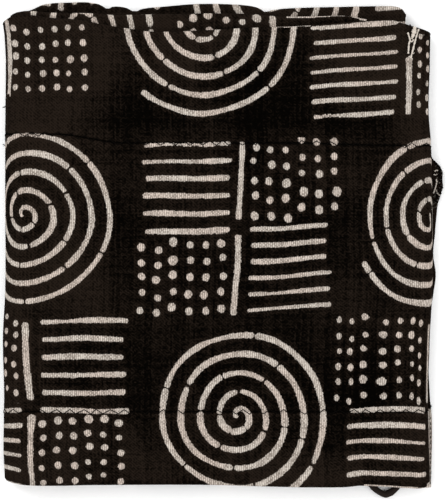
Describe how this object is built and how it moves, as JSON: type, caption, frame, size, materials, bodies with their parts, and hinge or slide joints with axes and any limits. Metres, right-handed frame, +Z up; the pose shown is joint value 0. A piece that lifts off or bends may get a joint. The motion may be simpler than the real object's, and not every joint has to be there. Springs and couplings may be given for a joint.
{
  "type": "folded bogolan mud cloth",
  "caption": "Folded bogolan mud cloth of sewn cotton strips, near-black with cream spirals, stripes and dots, lying flat with layered fold edges and a small hanging loop.",
  "frame": {"origin": "centre of the folded pack's footprint, on the surface it lies on", "axes": "+Z up off the surface, the painted face upwards; +X along the woven strips, towards the hemmed end; +Y across the strips, towards the stepped fold edges"},
  "size_m": [0.3519, 0.3974, 0.024],
  "materials": {
    "dyed_cotton": "coarse hand-woven cotton dyed near-black with mud, matte, with cream painted marks",
    "loop_cotton": "rolled near-black cotton, matte"
  },
  "bodies": {
    "root": {"upper_strip": "dyed_cotton", "middle_strip": "dyed_cotton", "lower_strip": "dyed_cotton", "hanging_loop": "loop_cotton"}
  },
  "joints": []
}
